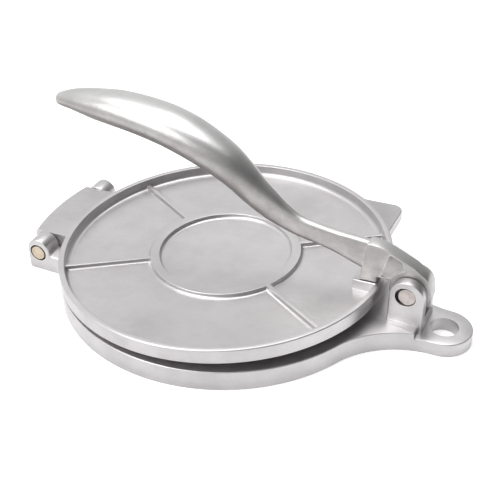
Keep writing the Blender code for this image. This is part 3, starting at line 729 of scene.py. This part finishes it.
# %% [markdown]
# The base is cast hollow from below to save metal and to cool evenly. A ring, crossed ribs and a
# hub are left standing, which also carry the press on the table.

# %% Hollows underneath
HUB_RADIUS = 0.009
UNDER_RIB = 0.0016        # half width
CEILING = 0.0082


def pocket(inner, outer, start, end):
    """One hollow between two radii and two ribs."""
    near = asin(UNDER_RIB / inner)
    far = asin(UNDER_RIB / outer)
    line = arc((0, 0), outer, start + far, end - far, radians(3))
    line += arc((0, 0), inner, end - near, start + near)
    piece = slab("pocket", plan_view(line, -0.002), (0, 0, 0.002 + CEILING))
    return soften(piece, 0.001, 2, radians(60))


rib_turns = [-RIB_TURN, RIB_TURN, pi - RIB_TURN, pi + RIB_TURN, 2 * pi - RIB_TURN]
for inner, outer in ((HUB_RADIUS, RING_RADIUS - UNDER_RIB), (RING_RADIUS + UNDER_RIB, 0.0955)):
    carve(base, *[pocket(inner, outer, start, end) for start, end in zip(rib_turns, rib_turns[1:])])
print("eight hollows cut")

# %% [markdown]
# Two ears on short arms carry the hinge pin on the left, and a fork on the neck carries the lever.
# Seen from the side each is an upright with a round head.

# %% Ears
EAR_THICK = 0.0116
EAR_RADIUS = 0.0076
EAR_OUTER = -HINGE_REACH - 0.0067
EAR_INNER = -0.0895
EAR_RISE = 0.0022         # hinge to the centre of the round head
EAR_TOE = 0.0018          # hollow where the ear runs into its arm
EAR_LIFT = 0.0006         # the ears stand clear of the table
ARM_TOP = 0.0123


def ear(front):
    """An ear on its arm, from its front face backwards."""
    centre = (EAR_OUTER + EAR_RADIUS, HINGE_HEIGHT + EAR_RISE)
    toe = (centre[0] + EAR_RADIUS + EAR_TOE, ARM_TOP + EAR_TOE)
    line = [(EAR_OUTER, EAR_LIFT)] + arc(centre, EAR_RADIUS, pi, 0, radians(6))
    line += arc(toe, EAR_TOE, pi, pi * 3 / 2, radians(15))
    line += [(EAR_INNER, ARM_TOP), (EAR_INNER, EAR_LIFT)]
    piece = slab("ear", side_view(line, front), (0, EAR_THICK, 0))
    return soften(piece, 0.0008, 3, BLUNT)


weld(base, ear(-TONGUE_HALF - PLAY - EAR_THICK), ear(TONGUE_HALF + PLAY))
print("ears welded")

# %% Fork
PIVOT = (0.1159, 0.0298)
CHEEK_RADIUS = 0.0102
ROOT_HALF = 0.0043
FORK_HALF = 0.011
FORK_FOOT = 0.0045        # sunk into the neck
FORK_SPLAY = 0.0012
SLOT_FLOOR = 0.0135
SLOT_FRONT = 0.09
SLOT_REAR = 0.14
SLOT_OVER = 0.05
STOP_FACE = 0.1219        # cross wall behind the slot
STOP_TOP = 0.016

fork_line = [(PIVOT[0] - CHEEK_RADIUS, FORK_FOOT)] + arc(PIVOT, CHEEK_RADIUS, pi, 0, radians(5))
fork_line += [(PIVOT[0] + CHEEK_RADIUS, STOP_TOP)]
fork_line += [(PIVOT[0] + CHEEK_RADIUS + FORK_SPLAY, FORK_FOOT)]
fork = slab("fork", side_view(fork_line, -FORK_HALF), (0, 2 * FORK_HALF, 0))
slot_line = [
    (SLOT_FRONT, SLOT_FLOOR), (STOP_FACE, SLOT_FLOOR), (STOP_FACE, STOP_TOP),
    (SLOT_REAR, STOP_TOP), (SLOT_REAR, SLOT_OVER), (SLOT_FRONT, SLOT_OVER),
]
carve(fork, slab("slot", side_view(slot_line, -ROOT_HALF - PLAY), (0, 2 * (ROOT_HALF + PLAY), 0)))
soften(fork, 0.0008, 3, BLUNT)
weld(base, fork)
print("fork welded")

# %% [markdown]
# The holes are bored last. The pins lie loose in them, which shows as a dark crescent on one side.

# %% Holes
PIVOT_PIN = 0.0052
LUG_HOLE = 0.0082
SLACK = 0.0009            # hole against pin, in radius
LEAN = 0.0006             # how far the hole's centre lies off the pin's
NECK_DRILL = 0.04
EAR_DRILL = 0.1

carve(base,
      rod("lug_hole", LUG_HOLE, (LUG_REACH, 0, 0), NECK_DRILL, False),
      rod("hinge_hole", HINGE_PIN + SLACK, (-HINGE_REACH + LEAN, 0, HINGE_HEIGHT + LEAN), EAR_DRILL),
      rod("pivot_hole", PIVOT_PIN + SLACK, (PIVOT[0] - LEAN, 0, PIVOT[1] + LEAN), NECK_DRILL))
settle(base, "base_plate", satin)

# %% [markdown]
# ## Lever
# The lever changes from an oval grip to a thin upright web, so no simple solid gives it. Rings are
# placed along its middle line, each with its own width, height and squareness, and bridged.

# %% Rings along the grip
LEVER_REACH = 0.2269
LEVER_HEIGHT = 0.0728
GRIP_WIDTH = 0.0305
GRIP_THICK = 0.0206
# Reach and rise from the pivot, width and height, and squareness of each section, in shares
STATION_SHARES = (
    (1.000, 0.962, 0.06, 0.06, 2.0),
    (0.993, 0.968, 0.24, 0.30, 2.0),
    (0.974, 0.980, 0.40, 0.44, 2.0),
    (0.934, 0.997, 0.58, 0.60, 2.0),
    (0.867, 1.000, 0.78, 0.81, 2.1),
    (0.804, 1.000, 0.90, 0.92, 2.1),
    (0.731, 0.981, 0.98, 0.96, 2.1),
    (0.658, 0.940, 1.00, 1.00, 2.1),
    (0.588, 0.867, 0.96, 1.00, 2.1),
    (0.512, 0.751, 0.82, 0.98, 2.1),
    (0.467, 0.648, 0.66, 0.92, 2.2),
    (0.430, 0.545, 0.51, 0.88, 2.3),
    (0.389, 0.450, 0.38, 0.82, 2.6),
    (0.352, 0.378, 0.28, 0.71, 3.0),
    (0.301, 0.313, 0.21, 0.61, 3.4),
    (0.215, 0.268, 0.20, 0.64, 4.0),
    (0.141, 0.225, 0.20, 0.86, 4.5),
    (0.112, 0.205, 0.20, 0.92, 5.0),
)
RING_POINTS = 48
RING_STEPS = 4


def station(place):
    """A row of the table at a fractional place, on a smooth curve."""
    start = min(int(place), len(STATION_SHARES) - 2)
    share = place - start
    before = STATION_SHARES[max(start - 1, 0)]
    after = STATION_SHARES[min(start + 2, len(STATION_SHARES) - 1)]
    row = []
    for first, left, right, last in zip(before, STATION_SHARES[start], STATION_SHARES[start + 1], after):
        slope_in = (right - first) / 2
        slope_out = (last - left) / 2
        rise = right - left
        row.append(left + share * (slope_in + share * (
            3 * rise - 2 * slope_in - slope_out + share * (slope_in + slope_out - 2 * rise))))
    return row


def squared(value, power):
    """A power that keeps the sign, which turns a circle towards a square."""
    return abs(value) ** power * (1 if value >= 0 else -1)


rows = [station(step / RING_STEPS) for step in range((len(STATION_SHARES) - 1) * RING_STEPS + 1)]
middles = [
    Vector((PIVOT[0] - row[0] * LEVER_REACH, 0, PIVOT[1] + row[1] * LEVER_HEIGHT)) for row in rows]
clear_selection()
bpy.ops.mesh.primitive_circle_add(vertices=RING_POINTS, radius=1, location=(0, 0, 0))
lever = bpy.context.active_object
lever.name = "lever_casting"
bpy.ops.object.mode_set(mode="EDIT")
for _ in rows[1:]:
    bpy.ops.mesh.primitive_circle_add(vertices=RING_POINTS, radius=1, location=(0, 0, 0))
bpy.ops.object.mode_set(mode="OBJECT")
for index, (middle, row) in enumerate(zip(middles, rows)):
    ahead = middles[min(index + 1, len(rows) - 1)] - middles[max(index - 1, 0)]
    upward = Vector((-ahead.z, 0, ahead.x)).normalized()
    for corner in range(RING_POINTS):
        turn = 2 * pi * corner / RING_POINTS
        wide = squared(cos(turn), 2 / row[4]) * row[2] * GRIP_WIDTH / 2
        tall = squared(sin(turn), 2 / row[4]) * row[3] * GRIP_THICK / 2
        point = lever.data.vertices[index * RING_POINTS + corner]
        point.co = middle + upward * tall + Vector((0, wide, 0))
print(len(rows), "rings placed")

# %% Bridge the rings
take(lever)
bpy.ops.object.mode_set(mode="EDIT")
bpy.ops.mesh.select_mode(type="EDGE")
for index in range(len(rows) - 1):
    bpy.ops.mesh.select_all(action="DESELECT")
    bpy.ops.object.mode_set(mode="OBJECT")
    for edge in lever.data.edges:
        ends = [vertex // RING_POINTS for vertex in edge.vertices]
        edge.select = ends[0] == ends[1] and ends[0] in (index, index + 1)
    bpy.ops.object.mode_set(mode="EDIT")
    bpy.ops.mesh.bridge_edge_loops()
for end in (0, len(rows) - 1):
    bpy.ops.mesh.select_all(action="DESELECT")
    bpy.ops.object.mode_set(mode="OBJECT")
    for edge in lever.data.edges:
        edge.select = all(vertex // RING_POINTS == end for vertex in edge.vertices)
    bpy.ops.object.mode_set(mode="EDIT")
    bpy.ops.mesh.edge_face_add()
bpy.ops.mesh.select_mode(type="VERT")
tidy_faces()
print("grip with", len(lever.data.polygons), "faces")

# %% [markdown]
# The root is a flat casting round the pivot, with a foot that pushes on the pad and a hollow in
# each side that leaves a round collar standing.

# %% Root, foot and hollows
ROOT_SHARES = (
    (0.1186, 0.341), (0.107, 0.347), (0.083, 0.338), (0.055, 0.308), (0.025, 0.268),
    (-0.005, 0.226), (-0.024, 0.185), (-0.036, 0.160), (-0.043, 0.128),
)
BOSS_RADIUS = 0.0123
ROOT_UNDER = 0.0042
FOOT_HEEL = 0.09615
FOOT_TOE = 0.08595


def pad_top(reach):
    """Height of the pad under the foot, at a distance from the plate's middle."""
    face = lid_top - 0.0002 - HINGE_HEIGHT
    return HINGE_HEIGHT + face / cos(LID_OPEN) + (HINGE_REACH + reach) * tan(LID_OPEN)


root_top = [(PIVOT[0] - along * LEVER_REACH, PIVOT[1] + up * LEVER_HEIGHT) for along, up in ROOT_SHARES]
nose = (root_top[-1][0] - PIVOT[0], root_top[-1][1] - PIVOT[1])
nose_start = atan2(nose[1], nose[0]) - acos(BOSS_RADIUS / hypot(*nose))
nose_end = -pi - asin(ROOT_UNDER / BOSS_RADIUS)
root_line = root_top + arc(PIVOT, BOSS_RADIUS, nose_start, nose_end)
root_line += [
    (FOOT_HEEL, PIVOT[1] + ROOT_UNDER),
    (FOOT_HEEL, pad_top(FOOT_HEEL) + PLAY),
    (FOOT_TOE, pad_top(FOOT_TOE) + PLAY),
]
root = slab("root", side_view(root_line, -ROOT_HALF), (0, 2 * ROOT_HALF, 0))
soften(root, 0.0006, 3, BLUNT)
weld(lever, root)

FLANGE = 0.0013
PANEL_DEPTH = 0.001
panel_left = FOOT_HEEL + 0.0023
panel_low = PIVOT[1] + ROOT_UNDER + FLANGE
panel_top = [(along, up - FLANGE) for along, up in root_top[3:5]]
border = BOSS_RADIUS + 0.0008
start = atan2(panel_top[-1][1] - PIVOT[1], panel_top[-1][0] - PIVOT[0])
end = pi - asin((panel_low - PIVOT[1]) / border)
panel_line = [(panel_left, panel_low), (panel_left + 0.0041, panel_top[0][1])]
panel_line += panel_top + arc(PIVOT, border, start, end)
for front in (-ROOT_HALF - PANEL_DEPTH, ROOT_HALF - PANEL_DEPTH):
    panel = slab("panel", side_view(panel_line, front), (0, 2 * PANEL_DEPTH, 0))
    soften(panel, 0.0003, 2, BLUNT)
    carve(lever, panel)
carve(lever, rod("bore", PIVOT_PIN + PLAY, (PIVOT[0], 0, PIVOT[1]), 0.02))
settle(lever, "lever", bright)

# %% [markdown]
# ## Pins
# Both pins are cut from drawn steel bar, with a small chamfer, and their ends show the marks of
# the saw and the hammer. The end faces are dished a little by inset steps.

# %% Pins
HINGE_PIN_HALF = 0.0396
PIVOT_PIN_HALF = 0.0099


def pin(name, radius, half, centre):
    """A bar with chamfered ends and a slightly raised middle on each end."""
    piece = rod(name, radius, centre, 2 * half)
    bpy.ops.object.mode_set(mode="EDIT")
    bpy.ops.mesh.select_mode(type="FACE")
    bpy.ops.object.mode_set(mode="OBJECT")
    for face in piece.data.polygons:
        face.select = abs(face.normal.y) > 0.9
    bpy.ops.object.mode_set(mode="EDIT")
    bpy.ops.mesh.inset(thickness=radius * 0.3, depth=-0.0001, use_individual=True)
    bpy.ops.mesh.inset(thickness=radius * 0.2, depth=0.00005, use_individual=True)
    bpy.ops.object.mode_set(mode="OBJECT")
    return soften(piece, 0.0005, 3)


hinge_pin = pin("hinge_bar", HINGE_PIN, HINGE_PIN_HALF, (-HINGE_REACH, 0, HINGE_HEIGHT))
pivot_pin = pin("pivot_bar", PIVOT_PIN, PIVOT_PIN_HALF, (PIVOT[0], 0, PIVOT[1]))
settle(hinge_pin, "hinge_pin", warm_steel)
settle(pivot_pin, "pivot_pin", pale_steel)
